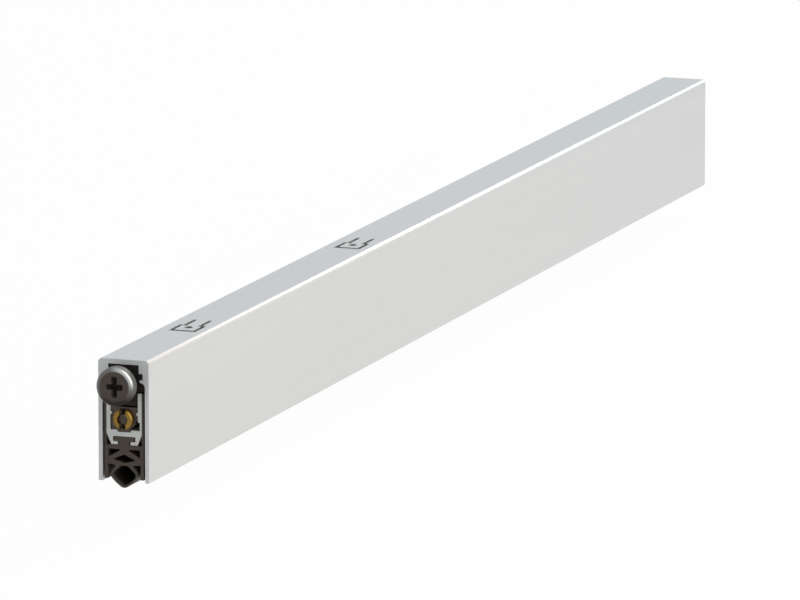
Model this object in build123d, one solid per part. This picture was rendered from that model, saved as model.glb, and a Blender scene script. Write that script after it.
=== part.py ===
from build123d import *
import os

# Automatic door bottom seal, to be let into a 13 x 30 mm groove in the lower edge of a door.
# X runs along the seal from the plunger end, Y across it and Z up.
# The origin is the middle of the flat top of the housing, so heights are written as depths below it.
# All lengths are in millimetres.

# Housing: an extruded channel, open below, with a keyed track under its top.
HOUSING_LENGTH = 430.0
HOUSING_WIDTH = 13.0
HOUSING_HEIGHT = 30.0
HOUSING_CORNER = 1.0
HOUSING_TOP_WALL = 1.2
HOUSING_SIDE_WALL = 1.0
PAD_WALL = 2.56
PAD_HEIGHT = 2.1
KEY_GROOVE_REACH = 1.0
KEY_GROOVE_HEIGHT = 1.5
RIB_WALL = 2.3
RIB_HEIGHT = 0.7
SHOULDER_LAND = 0.1

# Lanced tongues in the top of the housing, one over each clamped block.
FIRST_TONGUE_AT = 37.6
SECOND_TONGUE_AT = 153.8
TONGUE_SIDE_SHIFT = -0.4
TONGUE_WIDE = 7.0
TONGUE_WIDE_LENGTH = 7.9
TONGUE_NARROW = 5.0
TONGUE_NARROW_LENGTH = 6.9
TONGUE_SLIT = 1.0
TONGUE_END_SLIT = 1.5
PUNCH_AT = 5.1
PUNCH_SIDE_SHIFT = 0.7
PUNCH_DIAMETER = 3.3
PUNCH_DEPTH = 1.0
PUNCH_FADE = 0.25

# Drop bar: the extruded aluminium channel that carries the seal.
BAR_END_SETBACK = 0.3
BAR_WALL = 1.05
BAR_CHANNEL_HEIGHT = 9.2
BAR_FLOOR = 1.65
BAR_GROOVE_WIDTH = 3.4
BAR_GROOVE_DEPTH = 0.5
BAR_RIB = 0.4
BAR_RIB_HEIGHT = 0.8
BAR_RIB_SLOPE = 0.15
BAR_RIB_DOWN = 4.75
BAR_UNDERCUT = 0.5
BAR_UNDERCUT_HEIGHT = 2.05
BAR_SLOT_WIDTH = 5.7
BAR_SLOT_HEIGHT = 1.2
BAR_LIP = 0.8
BAR_LIP_OPENING = 3.15
BAR_FOOT_WIDTH = 6.7
BAR_TAPER_HEIGHT = 2.7

# Seal: one rubber extrusion, with flanks beside the bar, a trussed web and a hollow bulb.
SEAL_END_SETBACK = 0.2
SEAL_FLANK = 0.45
SEAL_HEAD_WIDTH = 5.2
SEAL_HEAD_HEIGHT = 1.0
SEAL_NECK_WIDTH = 2.6
SEAL_WEB = 1.0
SEAL_WALL = 0.95
SEAL_UPPER_HOLLOW_HEIGHT = 2.05
SEAL_UPPER_HOLLOW_TIP = 0.6
SEAL_LENS_HALF_WIDTH = 3.15
SEAL_LENS_TOP = 1.25
SEAL_LENS_SIDE = 2.6
SEAL_LENS_BOTTOM = 3.4
SEAL_POCKET_TOP = 3.65
SEAL_POCKET_TIP = 2.1
SEAL_POCKET_TIP_DOWN = 3.95
SEAL_FIN = 0.8
SEAL_FIN_LENGTH = 7.3
SEAL_BULB_WIDTH = 7.8
SEAL_BULB_SIDE_DOWN = 6.2
SEAL_BULB_BOTTOM_DOWN = 9.7
SEAL_BULB_BELLY = 0.3
SEAL_BULB_WALL = 0.6
SEAL_BULB_CROWN_WIDTH = 1.8
SEAL_BULB_CROWN_DOWN = 4.0
SEAL_BULB_CORNER = 1.6
SEAL_CORNER = 0.2

# Plunger: a pan head screw in a plastic block that slides in the track.
PLUNGER_TRAVEL = 3.0
PLUNGER_AXIS_DEPTH = 5.7
HEAD_DIAMETER = 9.6
HEAD_FLAT_DIAMETER = 7.6
HEAD_HEIGHT = 3.0
HEAD_ROUND_HEIGHT = 0.8
HEAD_STOP_GAP = 0.2
SCREW_DIAMETER = 4.0
SCREW_LENGTH = 16.0
RECESS_SPAN = 4.9
RECESS_ARM = 1.6
RECESS_DEPTH = 3.2
RECESS_TAPER = 5.0
INSERT_DIAMETER = 6.0
INSERT_LENGTH = 8.0
BLOCK_SETBACK = 0.3
BLOCK_LENGTH = 24.7
BLOCK_DEPTH = 11.2

# Push rod, the sliders pinned to it and the blocks clamped in the housing.
ROD_DIAMETER = 3.0
ROD_START = 15.5
ROD_PIN_DIAMETER = 1.5
ROD_PIN_LENGTH = 7.8
ROD_PIN_IN_BLOCK_AT = 20.0
SLIDER_LENGTH = 12.0
CLAMPED_BLOCK_LEAD = 1.6
CLAMPED_BLOCK_LENGTH = 19.7
REST_STOP_GAP = 0.3
GRUB_SCREW_DIAMETER = 4.0
GRUB_SCREW_LENGTH = 6.5
GRUB_SCREW_FROM_END = 5.5
GRUB_SOCKET_ACROSS = 2.0
GRUB_SOCKET_DEPTH = 2.2

# Leaf springs, riveted to the blocks above and to a saddle in the drop bar.
LEAF_THICKNESS = 0.4
LEAF_WIDTH = 6.0
LEAF_BOW = 2.2
LEAF_TAB = 9.0
LEAF_TAB_RIVET_AT = 4.5
SADDLE_LENGTH = 16.0
RIVET_DIAMETER = 2.0
RIVET_HEAD_DIAMETER = 4.0
RIVET_FLAT_DIAMETER = 2.6
RIVET_HEAD_HEIGHT = 0.8
RIVET_GRIP = 1.4
SADDLE_RIVET_GRIP = 3.0

# End block of the drop bar and the slotted brass sleeve that turns in it.
END_BLOCK_SETBACK = 0.8
END_BLOCK_LENGTH = 14.0
END_BLOCK_CORNER_CUT = 2.4
SLEEVE_DIAMETER = 5.0
SLEEVE_BORE = 2.7
SLEEVE_BORE_DEPTH = 9.0
SLEEVE_LENGTH = 13.0
SLEEVE_STANDOUT = 0.95
SLEEVE_SLOT = 1.6
SLEEVE_SLOT_DEPTH = 3.4
SLEEVE_CHAMFER = 0.25
SLEEVE_FLOOR = 0.7

# Fits and clearances.
SLIDE_GAP = 0.12
SEAT_GAP = 0.04
RUNNING_GAP = 0.05
PIN_GAP = 0.01
THREAD_RELIEF = 0.3
SEAL_TO_HOUSING_GAP = 0.45
SEAL_TO_BAR_GAP = 0.02
SEAL_HEAD_GAP = 0.1
BLOCK_TO_BAR_GAP = 0.25
WAIST_GAP = 0.23
CHANNEL_GAP = 0.1
ROD_TO_RIVET_GAP = 0.3
SNAP_GAP = 0.12

# Places that follow from the sizes above.
NEAR_END = -HOUSING_LENGTH / 2
HOUSING_HALF = HOUSING_WIDTH / 2
CAVITY_HALF = HOUSING_HALF - HOUSING_SIDE_WALL
PAD_FACE = HOUSING_HALF - PAD_WALL
GROOVE_FACE = PAD_FACE + KEY_GROOVE_REACH
RIB_FACE = HOUSING_HALF - RIB_WALL
GROOVE_TOP = HOUSING_TOP_WALL + PAD_HEIGHT
GROOVE_BOTTOM = GROOVE_TOP + KEY_GROOVE_HEIGHT
RIB_BOTTOM = GROOVE_BOTTOM + RIB_HEIGHT
SHOULDER_Y = RIB_FACE + SHOULDER_LAND
SHOULDER_RADIUS = CAVITY_HALF - SHOULDER_Y
SHOULDER_DEPTH = RIB_BOTTOM + SHOULDER_RADIUS

SEAL_HALF = CAVITY_HALF - SEAL_TO_HOUSING_GAP
BAR_HALF = SEAL_HALF - SEAL_FLANK - SEAL_TO_BAR_GAP
CHANNEL_HALF = BAR_HALF - BAR_WALL
BAR_TOP = SHOULDER_DEPTH + SHOULDER_RADIUS + BLOCK_TO_BAR_GAP
CHANNEL_FLOOR = BAR_TOP + BAR_CHANNEL_HEIGHT
SLOT_TOP = CHANNEL_FLOOR + BAR_FLOOR
SLOT_BOTTOM = SLOT_TOP + BAR_SLOT_HEIGHT
BAR_BOTTOM = SLOT_BOTTOM + BAR_LIP
RIB_TOP_IN_BAR = BAR_TOP + BAR_RIB_DOWN
BAR_LENGTH = HOUSING_LENGTH - 2 * BAR_END_SETBACK
WEB_TOP = BAR_BOTTOM + SEAL_HEAD_GAP
WEB_BOTTOM = WEB_TOP + SEAL_WEB

WAIST_HALF = CHANNEL_HALF - WAIST_GAP
GUIDE_BLOCK_AT = FIRST_TONGUE_AT - CLAMPED_BLOCK_LEAD
CENTRE_ANCHOR_AT = SECOND_TONGUE_AT - CLAMPED_BLOCK_LEAD
SLIDER_1_AT = GUIDE_BLOCK_AT + CLAMPED_BLOCK_LENGTH + REST_STOP_GAP
SLIDER_2_AT = CENTRE_ANCHOR_AT + CLAMPED_BLOCK_LENGTH + REST_STOP_GAP
LEAF_SPAN = CENTRE_ANCHOR_AT - SLIDER_1_AT - SLIDER_LENGTH
END_ANCHOR_AT = SLIDER_2_AT + SLIDER_LENGTH + LEAF_SPAN
ROD_END = SLIDER_2_AT + SLIDER_LENGTH
SLIDER_DEPTH = PLUNGER_AXIS_DEPTH + ROD_DIAMETER / 2 + ROD_TO_RIVET_GAP + RIVET_GRIP
SADDLE_TOP = SLIDER_DEPTH + LEAF_BOW + LEAF_THICKNESS
HEAD_BACK = -(PLUNGER_TRAVEL + HEAD_STOP_GAP)
SLEEVE_AXIS_DEPTH = CHANNEL_FLOOR + BAR_GROOVE_DEPTH - SLEEVE_FLOOR - SLEEVE_DIAMETER / 2


def x_at(distance):
    """The X of a place measured along the seal from the plunger end of the housing."""
    return NEAR_END + distance


def face_of(*lines):
    """A flat face inside a closed chain of lines and arcs."""
    return make_face([edge for line in lines for edge in line.edges()])


def both_halves(half):
    """A section from its +Y half."""
    return half + mirror(half, about=Plane.YZ)


def along(section, start, length):
    """A section drawn as (y, z), carried along the seal from start for length."""
    plane = Plane(origin=(x_at(start), 0, 0), x_dir=(0, 1, 0), z_dir=(1, 0, 0))
    return extrude(plane * section, amount=length)


def slab(x_range, y_range, depth_range):
    """A rectangular block between two distances, two sides and two depths."""
    (x0, x1), (y0, y1), (top, bottom) = x_range, y_range, depth_range
    return Pos(x_at(x0), y0, -bottom) * Box(
        x1 - x0, y1 - y0, bottom - top, align=(Align.MIN, Align.MIN, Align.MIN)
    )


def rod_along(radius, start, length, depth):
    """A round bar along the seal at a depth, on the centre line."""
    return Pos(x_at(start), 0, -depth) * Rot(0, 90, 0) * Cylinder(
        radius, length, align=(Align.CENTER, Align.CENTER, Align.MIN)
    )


def post(radius, distance, top, bottom):
    """An upright round bar on the centre line, from a top depth to a bottom depth."""
    return Pos(x_at(distance), 0, -bottom) * Cylinder(
        radius, bottom - top, align=(Align.CENTER, Align.CENTER, Align.MIN)
    )


def track_lines(gap):
    """The track under the housing's top, from the centre line to the end of its round shoulder."""
    top = HOUSING_TOP_WALL + gap
    pad, groove, rib = PAD_FACE - gap, GROOVE_FACE - gap, RIB_FACE - gap
    steps = Polyline(
        (0, -top),
        (pad, -top),
        (pad, -(GROOVE_TOP + gap)),
        (groove, -(GROOVE_TOP + gap)),
        (groove, -(GROOVE_BOTTOM - gap)),
        (rib, -(GROOVE_BOTTOM - gap)),
        (rib, -(RIB_BOTTOM + gap)),
        (SHOULDER_Y, -(RIB_BOTTOM + gap)),
    )
    shoulder = TangentArc(
        (SHOULDER_Y, -(RIB_BOTTOM + gap)), (CAVITY_HALF - gap, -SHOULDER_DEPTH), tangent=(1, 0)
    )
    return steps, shoulder


def tongue_slits(start):
    """The cut around one lanced tongue, which stays joined to the housing at its far end."""
    middle = TONGUE_SIDE_SHIFT
    through = (0, HOUSING_TOP_WALL)
    jog = start + TONGUE_WIDE_LENGTH
    wide, narrow = TONGUE_WIDE / 2, TONGUE_NARROW / 2
    cut = slab((start, start + TONGUE_END_SLIT), (middle - wide, middle + wide), through)
    for side in (-1, 1):
        outer = sorted((middle + side * wide, middle + side * (wide - TONGUE_SLIT)))
        inner = sorted((middle + side * narrow, middle + side * (narrow - TONGUE_SLIT)))
        step = sorted((middle + side * wide, middle + side * (narrow - TONGUE_SLIT)))
        cut += slab((start, jog), outer, through)
        cut += slab((jog - TONGUE_SLIT, jog), step, through)
        cut += slab((jog - TONGUE_SLIT, jog + TONGUE_NARROW_LENGTH), inner, through)
    return cut


def punch_mark(start):
    """The mark of the round punch, held askew, that presses a tongue down on the block under it."""
    centre = TONGUE_SIDE_SHIFT + PUNCH_SIDE_SHIFT
    shallow = centre + PUNCH_DIAMETER / 2 - PUNCH_FADE
    below = shallow - 2 * PUNCH_DIAMETER
    slope = PUNCH_DEPTH / (PUNCH_DIAMETER - PUNCH_FADE)
    wedge = face_of(Polyline((shallow, 0), (below, slope * (below - shallow)), (below, 0), close=True))
    punch = post(PUNCH_DIAMETER / 2, start + PUNCH_AT, -HOUSING_TOP_WALL, 2 * HOUSING_TOP_WALL)
    return along(wedge, start + PUNCH_AT - PUNCH_DIAMETER, 2 * PUNCH_DIAMETER) & Pos(0, centre, 0) * punch


def housing():
    """The housing: channel, track and the two lanced tongues."""
    outline = Polyline(
        (0, 0), (HOUSING_HALF, 0), (HOUSING_HALF, -HOUSING_HEIGHT), (0, -HOUSING_HEIGHT), close=True
    )
    half = face_of(outline)
    corner = half.vertices().sort_by(Axis.Y)[-2:].sort_by(Axis.X)[-1]
    half = fillet(corner, HOUSING_CORNER)
    steps, shoulder = track_lines(0)
    wall = Polyline(
        (CAVITY_HALF, -SHOULDER_DEPTH),
        (CAVITY_HALF, -HOUSING_HEIGHT),
        (0, -HOUSING_HEIGHT),
        (0, -HOUSING_TOP_WALL),
    )
    half -= face_of(steps, shoulder, wall)
    body = along(both_halves(half), 0, HOUSING_LENGTH)
    for start in (FIRST_TONGUE_AT, SECOND_TONGUE_AT):
        body -= tongue_slits(start) + punch_mark(start)
    return body


def track_block(start, length, bottom, gap):
    """A block that fills the track and hangs down between the legs of the drop bar."""
    steps, shoulder = track_lines(gap)
    key_bottom = SHOULDER_DEPTH + SHOULDER_RADIUS - gap
    key = TangentArc(
        (CAVITY_HALF - gap, -SHOULDER_DEPTH), (SHOULDER_Y, -key_bottom), tangent=(0, -1)
    )
    waist = Polyline(
        (SHOULDER_Y, -key_bottom),
        (WAIST_HALF, -key_bottom),
        (WAIST_HALF, -bottom),
        (0, -bottom),
        (0, -(HOUSING_TOP_WALL + gap)),
    )
    return along(both_halves(face_of(steps, shoulder, key, waist)), start, length)


def plunger_block():
    """The sliding block: insert in front, blind hole behind it, push rod in the back."""
    block = track_block(BLOCK_SETBACK, BLOCK_LENGTH, BLOCK_DEPTH, SLIDE_GAP)
    block -= rod_along(INSERT_DIAMETER / 2, BLOCK_SETBACK, INSERT_LENGTH, PLUNGER_AXIS_DEPTH)
    relief = HEAD_BACK + SCREW_LENGTH + THREAD_RELIEF - BLOCK_SETBACK
    block -= rod_along(SCREW_DIAMETER / 2 + THREAD_RELIEF, BLOCK_SETBACK, relief, PLUNGER_AXIS_DEPTH)
    rod_hole = BLOCK_SETBACK + BLOCK_LENGTH - ROD_START
    block -= rod_along(ROD_DIAMETER / 2 + PIN_GAP, ROD_START, rod_hole, PLUNGER_AXIS_DEPTH)
    return block - cross_hole(ROD_PIN_IN_BLOCK_AT)


def cross_hole(distance):
    """The hole for a cross pin, right through a block and the rod in it."""
    return cross_bar(distance, ROD_PIN_DIAMETER / 2 + PIN_GAP, HOUSING_WIDTH)


def cross_bar(distance, radius, length):
    """A round bar across the seal, through the axis of the push rod."""
    return Pos(x_at(distance), 0, -PLUNGER_AXIS_DEPTH) * Rot(90, 0, 0) * Cylinder(radius, length)


def thread_insert():
    """The brass insert that takes the plunger screw."""
    insert = rod_along(INSERT_DIAMETER / 2, BLOCK_SETBACK, INSERT_LENGTH, PLUNGER_AXIS_DEPTH)
    return insert - rod_along(
        SCREW_DIAMETER / 2 + RUNNING_GAP, BLOCK_SETBACK, INSERT_LENGTH, PLUNGER_AXIS_DEPTH
    )


def plunger_screw():
    """The pan head screw whose head the door frame pushes in, turned to set the drop."""
    front = x_at(HEAD_BACK - HEAD_HEIGHT)
    back = x_at(HEAD_BACK)
    tip = back + SCREW_LENGTH
    rim, flat, shank = HEAD_DIAMETER / 2, HEAD_FLAT_DIAMETER / 2, SCREW_DIAMETER / 2
    crown = TangentArc((front + HEAD_ROUND_HEIGHT, rim), (front, flat), tangent=(-1, 0))
    sides = Polyline(
        (front, flat),
        (front, 0),
        (tip, 0),
        (tip, shank),
        (back, shank),
        (back, rim),
        (front + HEAD_ROUND_HEIGHT, rim),
    )
    screw = Pos(0, 0, -PLUNGER_AXIS_DEPTH) * revolve(face_of(crown, sides), axis=Axis.X)
    cross = Rectangle(RECESS_SPAN, RECESS_ARM) + Rectangle(RECESS_ARM, RECESS_SPAN)
    face = Plane(origin=(front, 0, -PLUNGER_AXIS_DEPTH), x_dir=(0, 1, 0), z_dir=(1, 0, 0))
    return screw - extrude(face * cross, amount=RECESS_DEPTH, taper=RECESS_TAPER)


def push_rod():
    """The rod that carries the push to both sliders, with its three cross holes."""
    rod = rod_along(ROD_DIAMETER / 2, ROD_START, ROD_END - ROD_START, PLUNGER_AXIS_DEPTH)
    for distance in rod_pin_places():
        rod -= cross_hole(distance)
    return rod


def rod_pin_places():
    """Distances of the cross pins: one in the plunger block and one in the middle of each slider."""
    middle = SLIDER_LENGTH / 2
    return ROD_PIN_IN_BLOCK_AT, SLIDER_1_AT + middle, SLIDER_2_AT + middle


def slider(start, rivet_at):
    """A slider pinned to the push rod, with a leaf spring riveted under it."""
    block = track_block(start, SLIDER_LENGTH, SLIDER_DEPTH, SLIDE_GAP)
    block -= rod_along(ROD_DIAMETER / 2 + PIN_GAP, start, SLIDER_LENGTH, PLUNGER_AXIS_DEPTH)
    block -= cross_hole(start + SLIDER_LENGTH / 2)
    return block - rivet_hole(rivet_at)


def rivet_hole(distance):
    """The blind hole for a rivet under a slider or an anchor."""
    return post(RIVET_DIAMETER / 2 + PIN_GAP, distance, SLIDER_DEPTH - RIVET_GRIP, SLIDER_DEPTH)


def clamped_block(start):
    """A block clamped in the track under a tongue, which the push rod slides through."""
    block = track_block(start, CLAMPED_BLOCK_LENGTH, SLIDER_DEPTH, SEAT_GAP)
    return block - rod_along(
        ROD_DIAMETER / 2 + RUNNING_GAP, start, CLAMPED_BLOCK_LENGTH, PLUNGER_AXIS_DEPTH
    )


def grub_screw_at():
    """Distance of the grub screw that clamps the end anchor."""
    return END_ANCHOR_AT + CLAMPED_BLOCK_LENGTH - GRUB_SCREW_FROM_END


def end_anchor_block():
    """The anchor of the second leaf spring, held in the track by a grub screw."""
    block = track_block(END_ANCHOR_AT, CLAMPED_BLOCK_LENGTH, SLIDER_DEPTH, SEAT_GAP)
    block -= post(GRUB_SCREW_DIAMETER / 2 + PIN_GAP, grub_screw_at(), HOUSING_TOP_WALL, SLIDER_DEPTH)
    return block - rivet_hole(END_ANCHOR_AT + LEAF_TAB_RIVET_AT)


def end_anchor_screw():
    """The grub screw, bearing on the housing's top wall, with its socket facing down."""
    bottom = HOUSING_TOP_WALL + GRUB_SCREW_LENGTH
    screw = post(GRUB_SCREW_DIAMETER / 2, grub_screw_at(), HOUSING_TOP_WALL, bottom)
    hexagon = RegularPolygon(GRUB_SOCKET_ACROSS / 2, 6, major_radius=False)
    socket = extrude(Plane(origin=(x_at(grub_screw_at()), 0, -bottom)) * hexagon, GRUB_SOCKET_DEPTH)
    return screw - socket


def leaf_edge(start, lift):
    """One long edge of a bowed leaf, tab to tab, flat over the saddle, raised by lift."""
    high = lift - SLIDER_DEPTH - LEAF_THICKNESS
    low = high - LEAF_BOW
    run = (LEAF_SPAN - SADDLE_LENGTH) / 2
    first = x_at(start)
    tab_end = first + LEAF_TAB
    saddle_start = tab_end + run
    saddle_end = saddle_start + SADDLE_LENGTH
    far_tab = saddle_end + run
    half_way = (high + low) / 2
    return [
        Line((first, high), (tab_end, high)),
        TangentArc((tab_end, high), (tab_end + run / 2, half_way), tangent=(1, 0)),
        TangentArc((saddle_start, low), (tab_end + run / 2, half_way), tangent=(-1, 0)),
        Line((saddle_start, low), (saddle_end, low)),
        TangentArc((saddle_end, low), (saddle_end + run / 2, half_way), tangent=(1, 0)),
        TangentArc((far_tab, high), (saddle_end + run / 2, half_way), tangent=(-1, 0)),
        Line((far_tab, high), (far_tab + LEAF_TAB, high)),
    ]


def leaf_spring(start):
    """A leaf spring at rest, from its tab under a slider to its tab under an anchor."""
    end = start + 2 * LEAF_TAB + LEAF_SPAN
    top, bottom = -SLIDER_DEPTH, -(SLIDER_DEPTH + LEAF_THICKNESS)
    ends = [Line((x_at(x), top), (x_at(x), bottom)) for x in (start, end)]
    strip = face_of(*leaf_edge(start, 0), *leaf_edge(start, LEAF_THICKNESS), *ends)
    leaf = extrude(Plane.XZ * strip, amount=LEAF_WIDTH / 2, both=True)
    places = (start + LEAF_TAB - LEAF_TAB_RIVET_AT, end - LEAF_TAB + LEAF_TAB_RIVET_AT)
    for distance in (*places, saddle_middle(start)):
        leaf -= post(RIVET_DIAMETER / 2 + PIN_GAP, distance, 0, HOUSING_HEIGHT)
    return leaf


def saddle_middle(leaf_start):
    """Distance of the middle of a leaf and of the saddle under it."""
    return leaf_start + LEAF_TAB + LEAF_SPAN / 2


def tab_rivet(distance):
    """A rivet that holds a leaf's tab under a slider or an anchor, its head below."""
    under = SLIDER_DEPTH + LEAF_THICKNESS
    shank = post(RIVET_DIAMETER / 2, distance, SLIDER_DEPTH - RIVET_GRIP, under)
    bottom = under + RIVET_HEAD_HEIGHT
    return shank + rivet_head(distance, bottom, RIVET_FLAT_DIAMETER, RIVET_HEAD_DIAMETER)


def saddle_rivet(distance):
    """A rivet that holds a leaf's middle down on its saddle, its head above."""
    over = SADDLE_TOP - LEAF_THICKNESS
    shank = post(RIVET_DIAMETER / 2, distance, over, SADDLE_TOP + SADDLE_RIVET_GRIP)
    return shank + rivet_head(distance, over, RIVET_HEAD_DIAMETER, RIVET_FLAT_DIAMETER)


def rivet_head(distance, bottom, lower_diameter, upper_diameter):
    """The set head of a rivet: a low cone that stands on a depth."""
    return Pos(x_at(distance), 0, -bottom) * Cone(
        lower_diameter / 2,
        upper_diameter / 2,
        RIVET_HEAD_HEIGHT,
        align=(Align.CENTER, Align.CENTER, Align.MIN),
    )


def channel_filler(start, length, top):
    """A plastic piece snapped into the drop bar's channel over its ribs, keyed in its floor groove."""
    side = CHANNEL_HALF - CHANNEL_GAP
    waist = CHANNEL_HALF - BAR_RIB - SNAP_GAP
    floor = CHANNEL_FLOOR
    key = BAR_GROOVE_WIDTH / 2 - CHANNEL_GAP
    notch_top = RIB_TOP_IN_BAR - SNAP_GAP
    notch_bottom = RIB_TOP_IN_BAR + BAR_RIB_HEIGHT + SNAP_GAP
    half = Polyline(
        (0, -top),
        (side, -top),
        (side, -notch_top),
        (waist, -notch_top),
        (waist, -notch_bottom),
        (side, -notch_bottom),
        (side, -floor),
        (key, -floor),
        (key, -(floor + BAR_GROOVE_DEPTH)),
        (0, -(floor + BAR_GROOVE_DEPTH)),
        close=True,
    )
    return along(both_halves(face_of(half)), start, length)


def saddle(leaf_start):
    """The saddle that a leaf pushes down on, snapped into the drop bar."""
    middle = saddle_middle(leaf_start)
    block = channel_filler(middle - SADDLE_LENGTH / 2, SADDLE_LENGTH, SADDLE_TOP)
    return block - post(
        RIVET_DIAMETER / 2 + PIN_GAP, middle, SADDLE_TOP, SADDLE_TOP + SADDLE_RIVET_GRIP
    )


def drop_bar():
    """The drop bar: a deep channel above, a slot for the seal's head below."""
    rib_tip = CHANNEL_HALF - BAR_RIB
    rib_bottom = RIB_TOP_IN_BAR + BAR_RIB_HEIGHT
    groove, slot = BAR_GROOVE_WIDTH / 2, BAR_SLOT_WIDTH / 2
    opening = BAR_LIP_OPENING / 2
    half = face_of(
        Polyline(
            (0, -(CHANNEL_FLOOR + BAR_GROOVE_DEPTH)),
            (groove, -(CHANNEL_FLOOR + BAR_GROOVE_DEPTH)),
            (groove, -CHANNEL_FLOOR),
            (CHANNEL_HALF, -CHANNEL_FLOOR),
            (CHANNEL_HALF, -rib_bottom),
            (rib_tip, -(rib_bottom - BAR_RIB_SLOPE)),
            (rib_tip, -(RIB_TOP_IN_BAR + BAR_RIB_SLOPE)),
            (CHANNEL_HALF, -RIB_TOP_IN_BAR),
            (CHANNEL_HALF, -BAR_TOP),
            (BAR_HALF, -BAR_TOP),
            (BAR_HALF, -(BAR_BOTTOM - BAR_TAPER_HEIGHT)),
            (BAR_FOOT_WIDTH / 2, -BAR_BOTTOM),
            (opening, -BAR_BOTTOM),
            (opening, -SLOT_BOTTOM),
            (slot, -SLOT_BOTTOM),
            (slot, -SLOT_TOP),
            (0, -SLOT_TOP),
            close=True,
        )
    )
    bar = along(both_halves(half), BAR_END_SETBACK, BAR_LENGTH)
    undercut = slab(
        (BAR_END_SETBACK, BAR_END_SETBACK + BAR_LENGTH),
        (-CHANNEL_HALF - BAR_UNDERCUT, -CHANNEL_HALF),
        (CHANNEL_FLOOR - BAR_UNDERCUT_HEIGHT, CHANNEL_FLOOR),
    )
    return bar - undercut


def end_block():
    """The dark block in the end of the drop bar, bored for the brass sleeve."""
    top = SLEEVE_AXIS_DEPTH - SLEEVE_DIAMETER / 2 - SLEEVE_FLOOR / 2
    block = channel_filler(END_BLOCK_SETBACK, END_BLOCK_LENGTH, top)
    ends = (END_BLOCK_SETBACK, END_BLOCK_SETBACK + END_BLOCK_LENGTH)
    corner = slab(
        ends,
        (-HOUSING_HALF, -CHANNEL_HALF + END_BLOCK_CORNER_CUT),
        (CHANNEL_FLOOR - END_BLOCK_CORNER_CUT, CHANNEL_FLOOR),
    )
    boss = rod_along(
        SLEEVE_DIAMETER / 2 + SLEEVE_FLOOR / 2, END_BLOCK_SETBACK, END_BLOCK_LENGTH, SLEEVE_AXIS_DEPTH
    )
    block -= corner - boss
    return block - rod_along(
        SLEEVE_DIAMETER / 2 + RUNNING_GAP, END_BLOCK_SETBACK, END_BLOCK_LENGTH, SLEEVE_AXIS_DEPTH
    )


def brass_sleeve():
    """The slotted brass sleeve: blind bore, screwdriver slot and a small chamfer in front."""
    sleeve = rod_along(SLEEVE_DIAMETER / 2, -SLEEVE_STANDOUT, SLEEVE_LENGTH, SLEEVE_AXIS_DEPTH)
    sleeve = chamfer(sleeve.faces().sort_by(Axis.X)[0].edges(), SLEEVE_CHAMFER)
    sleeve -= rod_along(SLEEVE_BORE / 2, -SLEEVE_STANDOUT, SLEEVE_BORE_DEPTH, SLEEVE_AXIS_DEPTH)
    return sleeve - slab(
        (-SLEEVE_STANDOUT, -SLEEVE_STANDOUT + SLEEVE_SLOT_DEPTH),
        (-SLEEVE_SLOT / 2, SLEEVE_SLOT / 2),
        (SLEEVE_AXIS_DEPTH - SLEEVE_DIAMETER, SLEEVE_AXIS_DEPTH + SLEEVE_DIAMETER),
    )


def seal_below(depth):
    """The Z of a place in the seal's truss, measured down from the underside of its web."""
    return -(WEB_BOTTOM + depth)


def bulb_face(crown_width, crown_down, inset):
    """The bulb's outline, or its hollow when inset: straight shoulders, round sides and a soft foot."""
    side = (SEAL_BULB_WIDTH / 2 - inset, seal_below(SEAL_BULB_SIDE_DOWN))
    foot = (0, seal_below(SEAL_BULB_BOTTOM_DOWN - inset))
    crown = seal_below(crown_down)
    shoulder = Polyline(foot, (0, crown), (crown_width / 2, crown), side)
    full = both_halves(face_of(shoulder, SagittaArc(side, foot, SEAL_BULB_BELLY)))
    return fillet(full.vertices().sort_by(Axis.Y)[:3], SEAL_BULB_CORNER - inset)


def rounded(face, radius):
    """A face with all its corners rounded."""
    return fillet(face.vertices(), radius)


def seal_hollows():
    """The closed hollows of the truss: one beside the centre on each side, and the lens."""
    side = SEAL_HALF - SEAL_WALL
    upper = face_of(
        Polyline(
            (SEAL_UPPER_HOLLOW_TIP, seal_below(0)),
            (side, seal_below(0)),
            (side, seal_below(SEAL_UPPER_HOLLOW_HEIGHT)),
            close=True,
        )
    )
    lens = face_of(
        Polyline(
            (0, seal_below(SEAL_LENS_TOP)),
            (SEAL_LENS_HALF_WIDTH, seal_below(SEAL_LENS_SIDE)),
            (0, seal_below(SEAL_LENS_BOTTOM)),
            (-SEAL_LENS_HALF_WIDTH, seal_below(SEAL_LENS_SIDE)),
            close=True,
        )
    )
    return both_halves(rounded(upper, SEAL_CORNER)) + rounded(lens, SEAL_CORNER)


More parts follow.
